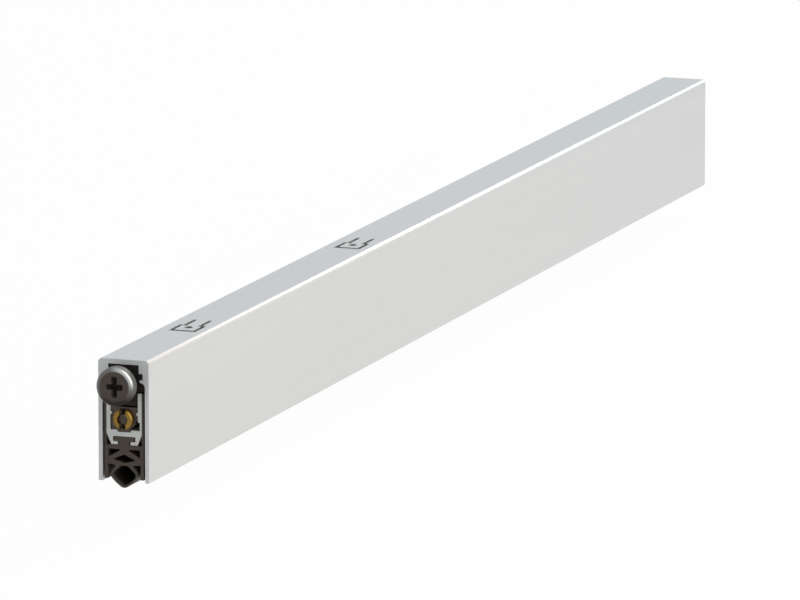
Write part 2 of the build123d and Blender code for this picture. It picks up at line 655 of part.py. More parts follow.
def seal_strip():
    """The rubber seal: head in the bar's slot, flanks beside the bar, truss and bulb below it."""
    head, neck = SEAL_HEAD_WIDTH / 2, SEAL_NECK_WIDTH / 2
    head_top = SLOT_TOP + SEAL_HEAD_GAP
    flank = SEAL_HALF - SEAL_FLANK
    fin = SEAL_HALF - SEAL_FIN
    half = face_of(
        Polyline(
            (0, -head_top),
            (head, -head_top),
            (head, -(head_top + SEAL_HEAD_HEIGHT)),
            (neck, -(head_top + SEAL_HEAD_HEIGHT)),
            (neck, -WEB_TOP),
            (flank, -WEB_TOP),
            (flank, -BAR_TOP),
            (SEAL_HALF, -BAR_TOP),
            (SEAL_HALF, seal_below(SEAL_FIN_LENGTH)),
            (fin, seal_below(SEAL_FIN_LENGTH)),
            (fin, seal_below(SEAL_POCKET_TOP)),
            (SEAL_POCKET_TIP, seal_below(SEAL_POCKET_TIP_DOWN)),
            (0, seal_below(SEAL_POCKET_TIP_DOWN)),
            close=True,
        )
    )
    bulb = bulb_face(2 * SEAL_POCKET_TIP, SEAL_POCKET_TIP_DOWN, 0)
    hollow = bulb_face(SEAL_BULB_CROWN_WIDTH, SEAL_BULB_CROWN_DOWN, SEAL_BULB_WALL)
    section = both_halves(half) + bulb - hollow - seal_hollows()
    return along(section, SEAL_END_SETBACK, HOUSING_LENGTH - 2 * SEAL_END_SETBACK)


leaf_starts = {
    1: SLIDER_1_AT + SLIDER_LENGTH - LEAF_TAB,
    2: SLIDER_2_AT + SLIDER_LENGTH - LEAF_TAB,
}
pin_places = rod_pin_places()

pieces = {
    "housing": housing(),
    "rod_guide_block": clamped_block(GUIDE_BLOCK_AT),
    "centre_anchor_block": clamped_block(CENTRE_ANCHOR_AT)
    - rivet_hole(CENTRE_ANCHOR_AT + LEAF_TAB_RIVET_AT),
    "end_anchor_block": end_anchor_block(),
    "end_anchor_screw": end_anchor_screw(),
    "centre_anchor_rivet": tab_rivet(CENTRE_ANCHOR_AT + LEAF_TAB_RIVET_AT),
    "end_anchor_rivet": tab_rivet(END_ANCHOR_AT + LEAF_TAB_RIVET_AT),
    "plunger_block": plunger_block(),
    "thread_insert": thread_insert(),
    "plunger_screw": plunger_screw(),
    "push_rod": push_rod(),
    "drop_bar": drop_bar(),
    "seal_strip": seal_strip(),
    "drop_bar_end_block": end_block(),
    "brass_sleeve": brass_sleeve(),
}
for number, start in leaf_starts.items():
    slider_rivet_at = start + LEAF_TAB - LEAF_TAB_RIVET_AT
    pieces[f"slider_{number}"] = slider(start + LEAF_TAB - SLIDER_LENGTH, slider_rivet_at)
    pieces[f"slider_rivet_{number}"] = tab_rivet(slider_rivet_at)
    pieces[f"leaf_spring_{number}"] = leaf_spring(start)
    pieces[f"saddle_{number}"] = saddle(start)
    pieces[f"saddle_rivet_{number}"] = saddle_rivet(saddle_middle(start))
for number, distance in enumerate(pin_places, 1):
    pieces[f"rod_pin_{number}"] = cross_bar(distance, ROD_PIN_DIAMETER / 2, ROD_PIN_LENGTH)

os.makedirs("parts", exist_ok=True)
for name, piece in pieces.items():
    export_step(piece, f"parts/{name}.step")
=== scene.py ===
import math

import bmesh
import bpy
from mathutils import Matrix, Vector


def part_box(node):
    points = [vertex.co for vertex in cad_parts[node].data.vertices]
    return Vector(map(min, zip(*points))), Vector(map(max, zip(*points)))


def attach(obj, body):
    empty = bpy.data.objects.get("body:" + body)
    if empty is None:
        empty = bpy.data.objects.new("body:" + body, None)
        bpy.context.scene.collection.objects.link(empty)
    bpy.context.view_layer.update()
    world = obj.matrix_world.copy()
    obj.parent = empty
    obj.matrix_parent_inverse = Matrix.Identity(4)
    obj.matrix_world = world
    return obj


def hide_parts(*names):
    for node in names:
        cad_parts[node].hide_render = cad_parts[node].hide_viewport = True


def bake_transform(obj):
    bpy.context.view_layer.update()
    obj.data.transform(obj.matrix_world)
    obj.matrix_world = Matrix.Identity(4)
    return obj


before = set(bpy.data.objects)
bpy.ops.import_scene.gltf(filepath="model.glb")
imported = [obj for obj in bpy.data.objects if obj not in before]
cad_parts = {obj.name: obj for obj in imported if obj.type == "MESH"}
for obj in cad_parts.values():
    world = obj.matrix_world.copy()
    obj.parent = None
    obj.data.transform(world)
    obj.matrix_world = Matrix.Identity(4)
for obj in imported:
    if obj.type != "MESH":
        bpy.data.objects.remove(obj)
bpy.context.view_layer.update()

# HOUSING
# One length of extruded aluminium channel, open below, with a keyed track and two tongues lanced in its top.
# It is anodised satin silver and then sawn square, so its two ends are bare metal, a shade darker.
MM = 0.001
HOUSING_EDGE = 0.12 * MM
HOUSING_TONES = ((0.7, 0.68, 0.645), (0.725, 0.705, 0.67))
HOUSING_METALLIC = 0.55
HOUSING_GLOSS = (0.35, 0.39)
HOUSING_STREAKS = {"Across": 700.0, "Along": 4.0, "Speckle": 3000.0}
HOUSING_STREAK_RELIEF = (0.04, 0.01 * MM)
HOUSING_SCRATCHES = 2200.0
FILM_TINT = (0.44, 0.58, 0.76, 1.0)
STREAK_TONES = (0.35, 0.65)
STREAK_DETAIL = 4.0
SPECKLE_DETAIL = 2.0
SPECKLE_SHARE = 0.5
SAWN_COLOUR = (0.61, 0.63, 0.64)
SAWN_METALLIC = 0.35
SAWN_GLOSS = 0.6
SAWN_RELIEF = (0.15, 0.02 * MM)
SAWN_FACING = (0.8, 0.97)
SAW_WAVE = 60.0
SAW_DETAIL = 3.0
# The slits and punch marks of the two lanced tongues are darkened with depth as painted shade.
LANCED_PAINTED_SHADE = (0.15, 0.147, 0.142)
LANCED_METALLIC = 0.1
LANCED_SPAN = (-0.03 * MM, -0.4 * MM)
LANCED_CEILING = (-1.17 * MM, -1.19 * MM)
LANCED_HALF_WIDTH = 3.95 * MM
LANCED_REACH = 214.0 * MM
WELD_REACH = 0.0005 * MM
SHARP_CORNER = math.radians(35)
EDGE_SEGMENTS = 2
MIX_COLOUR_INPUTS = (6, 7)
MIX_COLOUR_OUTPUT = 2


def new_effect(name, inputs, outputs):
    """An empty shader group with named number sockets, and the sockets seen from inside it."""
    group = bpy.data.node_groups.new(name, "ShaderNodeTree")
    for way, sockets in (("INPUT", inputs), ("OUTPUT", outputs)):
        for socket in sockets:
            group.interface.new_socket(name=socket, in_out=way, socket_type="NodeSocketFloat")
    return group, group.nodes.new("NodeGroupInput").outputs, group.nodes.new("NodeGroupOutput").inputs


def add_node(owner, kind, links, **settings):
    """Adds a node to a group, material or world, sets its properties and joins or fills its inputs."""
    tree = getattr(owner, "node_tree", owner)
    node = tree.nodes.new(kind)
    for name, value in settings.items():
        setattr(node, name, value)
    for socket, source in links.items():
        if isinstance(source, bpy.types.NodeSocket):
            tree.links.new(source, node.inputs[socket])
        else:
            node.inputs[socket].default_value = source
    return node


def object_place(owner):
    """The place of a point on its piece, which is its place on the whole part at rest."""
    return add_node(owner, "ShaderNodeTexCoord", {}).outputs["Object"]


def axes_of(owner, vector):
    """The X, Y and Z of a place or a direction."""
    return add_node(owner, "ShaderNodeSeparateXYZ", {"Vector": vector}).outputs


def work_out(owner, operation, *terms):
    """One step of arithmetic on up to three numbers."""
    return add_node(owner, "ShaderNodeMath", dict(enumerate(terms)), operation=operation).outputs[0]


def both_of(owner, first, second):
    """Where two masks hold at once."""
    return work_out(owner, "MULTIPLY", first, second)


def below(owner, value, limit):
    """Where the size of a value, up or down, is below a limit."""
    return work_out(owner, "LESS_THAN", work_out(owner, "ABSOLUTE", value), limit)


def run_between(owner, mask, low, high, span=(0.0, 1.0)):
    """A number that runs from low to high as a mask runs over its span."""
    return add_node(owner, "ShaderNodeMapRange", {
        "Value": mask, "From Min": span[0], "From Max": span[1], "To Min": low, "To Max": high}).outputs[0]


def blend_numbers(owner, mask, first, second):
    """A number that goes from the first to the second by a mask."""
    return add_node(owner, "ShaderNodeMix", {"Factor": mask, "A": first, "B": second}).outputs["Result"]


def blend_tones(owner, mask, first, second):
    """A colour that goes from the first tone to the second by a mask; a tone is a colour or an output."""
    inputs = {"Factor": mask}
    for socket, tone in zip(MIX_COLOUR_INPUTS, (first, second)):
        inputs[socket] = tone if isinstance(tone, bpy.types.NodeSocket) else (*tone, 1.0)
    return add_node(owner, "ShaderNodeMix", inputs, data_type="RGBA").outputs[MIX_COLOUR_OUTPUT]


def cloudy(owner, place, scale, detail):
    """A soft, uneven field of numbers."""
    inputs = {"Vector": place, "Scale": scale, "Detail": detail}
    return add_node(owner, "ShaderNodeTexNoise", inputs).outputs[0]


def stretched(owner, place, x, y, z):
    """A place with each axis scaled, so that a pattern read there is drawn out along the lesser axes."""
    scale = add_node(owner, "ShaderNodeCombineXYZ", {"X": x, "Y": y, "Z": z}).outputs[0]
    return add_node(owner, "ShaderNodeVectorMath", {0: place, 1: scale}, operation="MULTIPLY").outputs[0]


def die_streaks_effect():
    """Straight, faint lines that an extrusion die leaves along X, with a fine speckle between them."""
    group, given, result = new_effect("die_streaks", ("Across", "Along", "Speckle"), ("Tone", "Height"))
    place = object_place(group)
    drawn = stretched(group, place, given["Along"], given["Across"], given["Across"])
    lines = cloudy(group, drawn, 1.0, STREAK_DETAIL)
    speckle = cloudy(group, place, given["Speckle"], SPECKLE_DETAIL)
    group.links.new(blend_numbers(group, SPECKLE_SHARE, lines, speckle), result["Tone"])
    group.links.new(lines, result["Height"])
    return group


def sawn_ends_effect():
    """A mask of the faces that look along X, and the fine scratches that a saw leaves across them."""
    group, given, result = new_effect("sawn_ends", ("Scratches",), ("Mask", "Height"))
    normal = add_node(group, "ShaderNodeNewGeometry", {}).outputs["True Normal"]
    facing = work_out(group, "ABSOLUTE", axes_of(group, normal)["X"])
    mask = run_between(group, facing, 0.0, 1.0, SAWN_FACING)
    drawn = stretched(group, object_place(group), 1.0, SAW_WAVE, given["Scratches"])
    lines = cloudy(group, drawn, 1.0, SAW_DETAIL)
    group.links.new(mask, result["Mask"])
    group.links.new(work_out(group, "MULTIPLY", lines, mask), result["Height"])
    return group


DIE_STREAKS = die_streaks_effect()
SAWN_ENDS = sawn_ends_effect()


def new_finish(name, **sockets):
    """A material, with the values that are the same all over it set on its shader's own sockets."""
    material = bpy.data.materials.new(name)
    material.use_nodes = True
    shader = material.node_tree.nodes["Principled BSDF"]
    for socket, value in sockets.items():
        shader.inputs[socket.replace("_", " ")].default_value = value
    return material


def apply_effect(material, group, **settings):
    """Places a shared effect in a material with its own values and returns its outputs."""
    return add_node(material, "ShaderNodeGroup", settings, node_tree=group).outputs


def give(material, **sources):
    """Joins outputs to the shader's sockets."""
    shader = material.node_tree.nodes["Principled BSDF"]
    for socket, source in sources.items():
        material.node_tree.links.new(source, shader.inputs[socket.replace("_", " ")])


def emboss(material, height, strength, depth, over=None):
    """A relief from a height, laid over another relief where one is given, and joined to the shader."""
    inputs = {"Strength": strength, "Distance": depth, "Height": height}
    if over is not None:
        inputs["Normal"] = over
    normal = add_node(material, "ShaderNodeBump", inputs).outputs[0]
    give(material, Normal=normal)
    return normal


def lanced_painted_shade(material):
    """The walls of the slits and punch marks in the housing's top, darkened with depth below it as painted
    shade.
    """
    spot = axes_of(material, object_place(material))
    inner = both_of(
        material, below(material, spot["Y"], LANCED_HALF_WIDTH), below(material, spot["X"], LANCED_REACH))
    depth = both_of(
        material,
        run_between(material, spot["Z"], 0.0, 1.0, LANCED_SPAN),
        run_between(material, spot["Z"], 1.0, 0.0, LANCED_CEILING),
    )
    return both_of(material, inner, depth)


def dress(material, *names):
    """Gives solids of the part their finish."""
    for name in names:
        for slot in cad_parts[name].material_slots:
            slot.material = material


def ease_edges(width, *names):
    """Breaks the sharp edges of solids, as a deburring wheel or a mould does."""
    for name in names:
        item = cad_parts[name]
        item.modifiers.new("weld", "WELD").merge_threshold = WELD_REACH
        bevel = item.modifiers.new("eased_edges", "BEVEL")
        bevel.width = width
        bevel.segments = EDGE_SEGMENTS
        bevel.limit_method = "ANGLE"
        bevel.angle_limit = SHARP_CORNER
        bevel.miter_outer = "MITER_ARC"
        bevel.harden_normals = True


ANODISED = new_finish("satin_anodised", Specular_Tint=FILM_TINT)
housing_streaks = apply_effect(ANODISED, DIE_STREAKS, **HOUSING_STREAKS)
housing_saw = apply_effect(ANODISED, SAWN_ENDS, Scratches=HOUSING_SCRATCHES)
housing_sawn = housing_saw["Mask"]
housing_lanced_shade = lanced_painted_shade(ANODISED)
satin_tone = run_between(ANODISED, housing_streaks["Tone"], 0.0, 1.0, STREAK_TONES)
satin = blend_tones(ANODISED, satin_tone, *HOUSING_TONES)
housing_surface = blend_tones(ANODISED, housing_sawn, satin, SAWN_COLOUR)
housing_metallic = run_between(ANODISED, housing_sawn, HOUSING_METALLIC, SAWN_METALLIC)
lanced_metallic = run_between(ANODISED, housing_lanced_shade, 1.0, LANCED_METALLIC)
satin_gloss = run_between(ANODISED, satin_tone, *HOUSING_GLOSS)
give(
    ANODISED,
    Base_Color=blend_tones(ANODISED, housing_lanced_shade, housing_surface, LANCED_PAINTED_SHADE),
    Metallic=work_out(ANODISED, "MULTIPLY", housing_metallic, lanced_metallic),
    Roughness=blend_numbers(ANODISED, housing_sawn, satin_gloss, SAWN_GLOSS),
)
housing_drawn = emboss(ANODISED, housing_streaks["Height"], *HOUSING_STREAK_RELIEF)
emboss(ANODISED, housing_saw["Height"], *SAWN_RELIEF, over=housing_drawn)
dress(ANODISED, "housing")
ease_edges(HOUSING_EDGE, "housing")

# DROP BAR
# A second aluminium extrusion that hangs on the leaf springs and carries the seal in its slot.
# It is left mill finished, with stronger die lines than the housing, and sawn at both ends.
BAR_EDGE = 0.07 * MM
BAR_TONES = ((0.46, 0.47, 0.47), (0.53, 0.54, 0.54))
BAR_METALLIC = 0.5
BAR_GLOSS = (0.45, 0.55)
BAR_STREAKS = {"Across": 1400.0, "Along": 10.0, "Speckle": 3500.0}
BAR_STREAK_RELIEF = (0.08, 0.02 * MM)
BAR_SCRATCHES = 2600.0

MILL = new_finish("mill_aluminium", Metallic=BAR_METALLIC)
bar_streaks = apply_effect(MILL, DIE_STREAKS, **BAR_STREAKS)
bar_saw = apply_effect(MILL, SAWN_ENDS, Scratches=BAR_SCRATCHES)
bar_tone = run_between(MILL, bar_streaks["Tone"], 0.0, 1.0, STREAK_TONES)
give(
    MILL,
    Base_Color=blend_tones(MILL, bar_tone, *BAR_TONES),
    Roughness=run_between(MILL, bar_tone, *BAR_GLOSS),
)
bar_drawn = emboss(MILL, bar_streaks["Height"], *BAR_STREAK_RELIEF)
emboss(MILL, bar_saw["Height"], *SAWN_RELIEF, over=bar_drawn)
dress(MILL, "drop_bar")
ease_edges(BAR_EDGE, "drop_bar")

# SEAL
# One extrusion of dark brown rubber: a head in the bar's slot, flanks beside the bar,
# a trussed web and a hollow bulb that presses on the floor. It is matt, with a fine grain.
RUBBER_TONES = ((0.055, 0.043, 0.036), (0.075, 0.06, 0.051))
RUBBER_GLOSS = (0.6, 0.75)
RUBBER_GRAIN = {"Grain": 3500.0, "Cloud": 90.0}
RUBBER_SHINE = 0.35
GRAIN_DETAIL = 3.0
GRAIN_SHARE = 0.6
GRAIN_TONES = (0.3, 0.7)
GRAIN_RELIEF = (0.15, 0.02 * MM)


def matt_grain_effect():
    """The even grain of a moulded or extruded polymer, with weak cloudy patches."""
    group, given, result = new_effect("matt_grain", ("Grain", "Cloud"), ("Tone", "Height"))
    place = object_place(group)
    grain = cloudy(group, place, given["Grain"], GRAIN_DETAIL)
    cloud = cloudy(group, place, given["Cloud"], GRAIN_DETAIL)
    group.links.new(blend_numbers(group, GRAIN_SHARE, grain, cloud), result["Tone"])
    group.links.new(grain, result["Height"])
    return group


MATT_GRAIN = matt_grain_effect()


def grained(name, tones, gloss, grain, **sockets):
    """A finish of two near tones under the matt grain."""
    material = new_finish(name, **sockets)
    effect = apply_effect(material, MATT_GRAIN, **grain)
    tone = run_between(material, effect["Tone"], 0.0, 1.0, GRAIN_TONES)
    give(
        material,
        Base_Color=blend_tones(material, tone, *tones),
        Roughness=run_between(material, tone, *gloss),
    )
    emboss(material, effect["Height"], *GRAIN_RELIEF)
    return material


RUBBER = grained(
    "seal_rubber", RUBBER_TONES, RUBBER_GLOSS, RUBBER_GRAIN, Specular_IOR_Level=RUBBER_SHINE)
dress(RUBBER, "seal_strip")

# BLOCKS IN THE TRACK
# The plunger block, the sliders and the clamped blocks are moulded in black plastic, keyed to the track.
# Their faces are smooth and dull and their edges slightly rounded by the mould.
BLACK_TONES = ((0.011, 0.009, 0.0075), (0.018, 0.015, 0.0125))
BLACK_GLOSS = (0.5, 0.6)
BLACK_GRAIN = {"Grain": 2500.0, "Cloud": 150.0}
BLACK_SHINE = 0.2

BLACK = grained("black_plastic", BLACK_TONES, BLACK_GLOSS, BLACK_GRAIN, Specular_IOR_Level=BLACK_SHINE)
dress(BLACK, "plunger_block", "slider_1", "slider_2")
dress(BLACK, "rod_guide_block", "centre_anchor_block", "end_anchor_block")

# END BLOCK AND SADDLES
# These snap into the drop bar's channel: the block in its end holds the brass sleeve,
# and the saddles carry the leaf springs. They are moulded in a browner plastic.
BROWN_TONES = ((0.1, 0.08, 0.068), (0.125, 0.1, 0.085))
BROWN_GLOSS = (0.5, 0.6)
BROWN_GRAIN = {"Grain": 2800.0, "Cloud": 140.0}
BROWN_SHINE = 0.3

BROWN = grained(
    "brown_black_plastic", BROWN_TONES, BROWN_GLOSS, BROWN_GRAIN, Specular_IOR_Level=BROWN_SHINE)
dress(BROWN, "drop_bar_end_block", "saddle_1", "saddle_2")

# PLUNGER SCREW
# A pan head screw with a cross recess and a rolled M4 thread, in blackened steel. The door frame pushes it.
# A painted highlight lies on the upper right of its crown, and painted light lightens its upper rim. The
# flat stays dull brown; painted shade darkens the lower rim and the cross recess.
HEAD_RADIUS = 4.8 * MM
HEAD_FLAT_RADIUS = 3.8 * MM
HEAD_CROWN = 1.0 * MM
HEAD_LENGTH = 3.0 * MM
HEAD_BACK_CORNER = 0.2 * MM
HEAD_STEPS = 144
CROWN_STEPS = 10
RECESS_REACH = (2.6 * MM, 2.2 * MM)
RECESS_HALF_ARM = 0.75 * MM
RECESS_CORNER = 0.35 * MM
RECESS_CORNER_CUT = 0.3
RECESS_DEPTH = 2.2 * MM
RECESS_POINT = 0.6 * MM
RECESS_TAPER = 0.72
RECESS_LIP = 0.08 * MM
SHANK_ROOT = 1.62 * MM
SHANK_CHAMFER = 0.5 * MM
THREAD_CREST = 1.97 * MM
THREAD_PITCH = 0.7 * MM
THREAD_FLANK = 0.26 * MM
THREAD_LAND = 0.1 * MM
THREAD_SUNK = 0.1 * MM
THREAD_STEPS = 24
QUARTER_TURNS = ((1, 0), (0, 1), (-1, 0), (0, -1))
CREASE = math.radians(38)
MERGE_REACH = 0.001 * MM
OXIDE_FLAT = (0.062, 0.05, 0.043)
OXIDE_RIM_PAINTED_LIGHT = (0.13, 0.13, 0.125)
OXIDE_PAINTED_HIGHLIGHT = (0.46, 0.467, 0.474)
OXIDE_UNDER_PAINTED_SHADE = (0.02, 0.017, 0.015)
OXIDE_PIT_PAINTED_SHADE = (0.03, 0.025, 0.021)
OXIDE_METALLIC = 0.8
OXIDE_GLOSS = (0.26, 0.36)
OXIDE_GRAIN = {"Grain": 2000.0, "Cloud": 300.0}
OXIDE_RELIEF = (0.015, 0.02 * MM)
SIDE_GLOSS = 0.6
PIT_GLOSS = 0.9
# These bands lighten the upper part of the rim as painted light.
RIM_SPAN = (3.6 * MM, 3.9 * MM)
RIM_RISE = (-3.6 * MM, -0.6 * MM)
SIDE_SPAN = (4.7 * MM, 4.79 * MM)
# These bands darken the lower rim as painted shade under the head.
UNDER_SPAN = (3.0 * MM, 3.9 * MM)
UNDER_RISE = (-1.5 * MM, -3.6 * MM)
# These bands put a painted highlight on the upper right of the crown.
HIGHLIGHT_FROM = (3.75 * MM, 4.1 * MM)
HIGHLIGHT_TO = (4.7 * MM, 4.8 * MM)
HIGHLIGHT_TOWARDS = (-0.68, 0.73)
HIGHLIGHT_SPREAD = (0.55, 0.93)
# These bands darken the cross recess behind the flat as painted shade.
PIT_REACH = (2.9 * MM, 3.0 * MM)
PIT_SPAN = (0.03 * MM, 0.2 * MM)


def turned_place_effect():
    """How far a point lies from a lengthwise axis, beside and above that axis, and behind a front face."""
    group, given, result = new_effect(
        "turned_place", ("Axis Z", "Front X"), ("Radius", "Aside", "Rise", "Depth"))
    spot = axes_of(group, object_place(group))
    rise = work_out(group, "SUBTRACT", spot["Z"], given["Axis Z"])
    depth = work_out(group, "SUBTRACT", spot["X"], given["Front X"])
    across = add_node(group, "ShaderNodeCombineXYZ", {"Y": spot["Y"], "Z": rise}).outputs[0]
    radius = add_node(group, "ShaderNodeVectorMath", {0: across}, operation="LENGTH").outputs["Value"]
    for socket, source in (("Radius", radius), ("Aside", spot["Y"]), ("Rise", rise), ("Depth", depth)):
        group.links.new(source, result[socket])
    return group


TURNED_PLACE = turned_place_effect()


def turned_axis(name):
    """The Z of a turned solid's axis and the X of its front face."""
    low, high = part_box(name)
    return (low.z + high.z) / 2, low.x


def spin_outline(bm, outline, axis_z, steps, turns=1, climb=0.0):
    """Sweeps a chain of (X, radius) points round a lengthwise axis, and along it by climb for each turn."""
    points = [bm.verts.new((x, 0, axis_z + radius)) for x, radius in outline]
    chain = [bm.edges.new(pair) for pair in zip(points, points[1:])]
    if climb:
        chain.append(bm.edges.new((points[-1], points[0])))
    swept = bmesh.ops.spin(
        bm, geom=points + chain, cent=(0, 0, axis_z), axis=(1, 0, 0), dvec=(climb / steps, 0, 0),
        angle=math.tau * turns, steps=steps * turns, use_merge=not climb)
    if climb:
        last = [v for v in swept["geom_last"] if isinstance(v, bmesh.types.BMVert)]
        bmesh.ops.contextual_create(bm, geom=points)
        bmesh.ops.contextual_create(bm, geom=last)


def round_edges(bm, edges, width):
    """Rounds edges of a new piece."""
    bmesh.ops.bevel(
        bm, geom=edges, offset=width, offset_type="OFFSET", affect="EDGES", segments=EDGE_SEGMENTS,
        profile=0.5, material=-1)


def to_piece(name, bm, finish):
    """Turns a mesh into an object at the origin, smooth but for its creases, with its finish and slot."""
    bmesh.ops.remove_doubles(bm, verts=bm.verts, dist=MERGE_REACH)
    bmesh.ops.recalc_face_normals(bm, faces=bm.faces)
    for face in bm.faces:
        face.smooth = True
    for edge in bm.edges:
        edge.smooth = len(edge.link_faces) == 2 and edge.calc_face_angle() < CREASE
    mesh = bpy.data.meshes.new(name)
    bm.to_mesh(mesh)
    bm.free()
    mesh.materials.append(finish)
    item = bpy.data.objects.new(name, mesh)
    bpy.context.scene.collection.objects.link(item)
    return item


def cross_outline():
    """The (Y, Z) points of the recess round its middle, arm by arm, with rounded tips."""
    arm, corner = RECESS_HALF_ARM, RECESS_CORNER
    cut = corner * RECESS_CORNER_CUT
    points = []
    for number, (cosine, sine) in enumerate(QUARTER_TURNS):
        reach = RECESS_REACH[number % 2]
        side = [(arm, reach - corner), (arm - cut, reach - cut), (arm - corner, reach)]
        tip = [(arm, arm)] + side + [(-y, z) for y, z in reversed(side)]
        points += [(y * cosine - z * sine, y * sine + z * cosine) for y, z in tip]
    return points


def sink_recess(bm, front, axis_z):
    """Fills the flat of the head round a cross and sinks the cross into it, tapered to a point."""
    rim = [e for e in bm.edges if e.is_boundary and all(abs(v.co.x - front) < MERGE_REACH for v in e.verts)]
    points = [bm.verts.new((front, y, axis_z + z)) for y, z in cross_outline()]
    mouth = [bm.edges.new(pair) for pair in zip(points, points[1:] + points[:1])]
    bmesh.ops.triangle_fill(bm, edges=rim + mouth, use_beauty=True)
    walls = bmesh.ops.extrude_edge_only(bm, edges=mouth)["geom"]
    deep = [v for v in walls if isinstance(v, bmesh.types.BMVert)]
    for vert in deep:
        aside, above = vert.co.y, vert.co.z - axis_z
        vert.co = (front + RECESS_DEPTH, aside * RECESS_TAPER, axis_z + above * RECESS_TAPER)
    ring = [e for e in walls if isinstance(e, bmesh.types.BMEdge) and all(v in deep for v in e.verts)]
    base = bmesh.ops.contextual_create(bm, geom=ring)["faces"]
    point = bmesh.ops.poke(bm, faces=base)["verts"]
    bmesh.ops.translate(bm, verts=point, vec=(RECESS_POINT, 0, 0))
    round_edges(bm, mouth, RECESS_LIP)


def plunger_screw_mesh(front, tip, axis_z):
    """The head with its crown and recess, and the shank with its thread."""
    bm = bmesh.new()
    back = front + HEAD_LENGTH
    quarter = [math.pi / 2 * step / CROWN_STEPS for step in range(CROWN_STEPS + 1)]
    rim_width = HEAD_RADIUS - HEAD_FLAT_RADIUS
    outline = [
        (front + HEAD_CROWN * (1 - math.cos(t)), HEAD_FLAT_RADIUS + rim_width * math.sin(t))
        for t in quarter
    ]
    outline += [
        (back - HEAD_BACK_CORNER, HEAD_RADIUS),
        (back, HEAD_RADIUS - HEAD_BACK_CORNER),
        (back, SHANK_ROOT),
        (tip - SHANK_CHAMFER, SHANK_ROOT),
        (tip, SHANK_ROOT - SHANK_CHAMFER),
        (tip, 0),
    ]
    spin_outline(bm, outline, axis_z, HEAD_STEPS)
    sink_recess(bm, front, axis_z)
    start = back - THREAD_FLANK
    inside = SHANK_ROOT - THREAD_SUNK
    ridge = [
        (start, inside),
        (start + THREAD_FLANK, THREAD_CREST),
        (start + THREAD_FLANK + THREAD_LAND, THREAD_CREST),
        (start + 2 * THREAD_FLANK + THREAD_LAND, inside),
    ]
    turns = int((tip - SHANK_CHAMFER - back) / THREAD_PITCH)
    spin_outline(bm, ridge, axis_z, THREAD_STEPS, turns, THREAD_PITCH)
    return bm


OXIDE = new_finish("black_oxide_steel")
head_grain = apply_effect(OXIDE, MATT_GRAIN, **OXIDE_GRAIN)
screw_axis_z, head_front = turned_axis("plunger_screw")
on_head = apply_effect(OXIDE, TURNED_PLACE, **{"Axis Z": screw_axis_z, "Front X": head_front})


def head_band(measure, span, low=0.0, high=1.0):
    """A mask that runs from low to high as one measure of a place on the head runs over a span."""
    return run_between(OXIDE, on_head[measure], low, high, span)


upper_rim_painted_light = both_of(OXIDE, head_band("Radius", RIM_SPAN), head_band("Rise", RIM_RISE))
under_rim_painted_shade = both_of(OXIDE, head_band("Radius", UNDER_SPAN), head_band("Rise", UNDER_RISE))
crown = both_of(OXIDE, head_band("Radius", HIGHLIGHT_FROM), head_band("Radius", HIGHLIGHT_TO, 1.0, 0.0))
lean = work_out(OXIDE, "MULTIPLY", on_head["Aside"], HIGHLIGHT_TOWARDS[0])
lean = work_out(OXIDE, "MULTIPLY_ADD", on_head["Rise"], HIGHLIGHT_TOWARDS[1], lean)
lean = work_out(OXIDE, "DIVIDE", lean, on_head["Radius"])
crown_painted_highlight = both_of(OXIDE, crown, run_between(OXIDE, lean, 0.0, 1.0, HIGHLIGHT_SPREAD))
recess_painted_shade = both_of(OXIDE, head_band("Radius", PIT_REACH, 1.0, 0.0), head_band("Depth", PIT_SPAN))
head_tone = blend_tones(OXIDE, upper_rim_painted_light, OXIDE_FLAT, OXIDE_RIM_PAINTED_LIGHT)
head_tone = blend_tones(OXIDE, crown_painted_highlight, head_tone, OXIDE_PAINTED_HIGHLIGHT)
head_tone = blend_tones(OXIDE, under_rim_painted_shade, head_tone, OXIDE_UNDER_PAINTED_SHADE)
head_gloss = run_between(OXIDE, head_grain["Tone"], *OXIDE_GLOSS, GRAIN_TONES)
head_gloss = blend_numbers(OXIDE, head_band("Radius", SIDE_SPAN), head_gloss, SIDE_GLOSS)
give(
    OXIDE,
    Base_Color=blend_tones(OXIDE, recess_painted_shade, head_tone, OXIDE_PIT_PAINTED_SHADE),
    Metallic=run_between(OXIDE, recess_painted_shade, OXIDE_METALLIC, 0.0),
    Roughness=blend_numbers(OXIDE, recess_painted_shade, head_gloss, PIT_GLOSS),
)
emboss(OXIDE, head_grain["Height"], *OXIDE_RELIEF)
screw_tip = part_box("plunger_screw")[1].x
screw_mesh = plunger_screw_mesh(head_front, screw_tip, screw_axis_z)
screw = to_piece("pan_head_screw", screw_mesh, OXIDE)
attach(screw, "set_screw")
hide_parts("plunger_screw")

# BRASS SLEEVE AND THREAD INSERT
# The slotted sleeve in the end block and the insert that takes the plunger screw are turned from brass bar.
# The brass has dulled. Painted shade darkens the slot and the bore, which a brown spigot of the end block
# fills.
BRASS_TONES = ((0.19, 0.115, 0.022), (0.27, 0.165, 0.036))
# The slot and the bore are darkened behind the sleeve's front face as painted shade, starting deeper near
# the bore's edge.
BRASS_PAINTED_SHADE = (0.13, 0.105, 0.088)
BRASS_METALLIC = 0.85
BRASS_GLOSS = (0.3, 0.4)
BRASS_GRAIN = {"Grain": 2000.0, "Cloud": 400.0}
BRASS_RELIEF = (0.1, 0.01 * MM)
SHADE_METALLIC = 0.1
SHADE_SPAN = (0.2 * MM, 0.6 * MM)
SLEEVE_BODY = (2.2 * MM, 2.3 * MM)
BORE_EDGE = (1.37 * MM, 1.42 * MM)
BORE_LIT_REACH = 0.9 * MM
SPIGOT_FRONT = 0.9 * MM
SPIGOT_END = 8.9 * MM
SPIGOT_RADIUS = 1.2 * MM
SPIGOT_EDGE = 0.1 * MM
SPIGOT_STEPS = 48

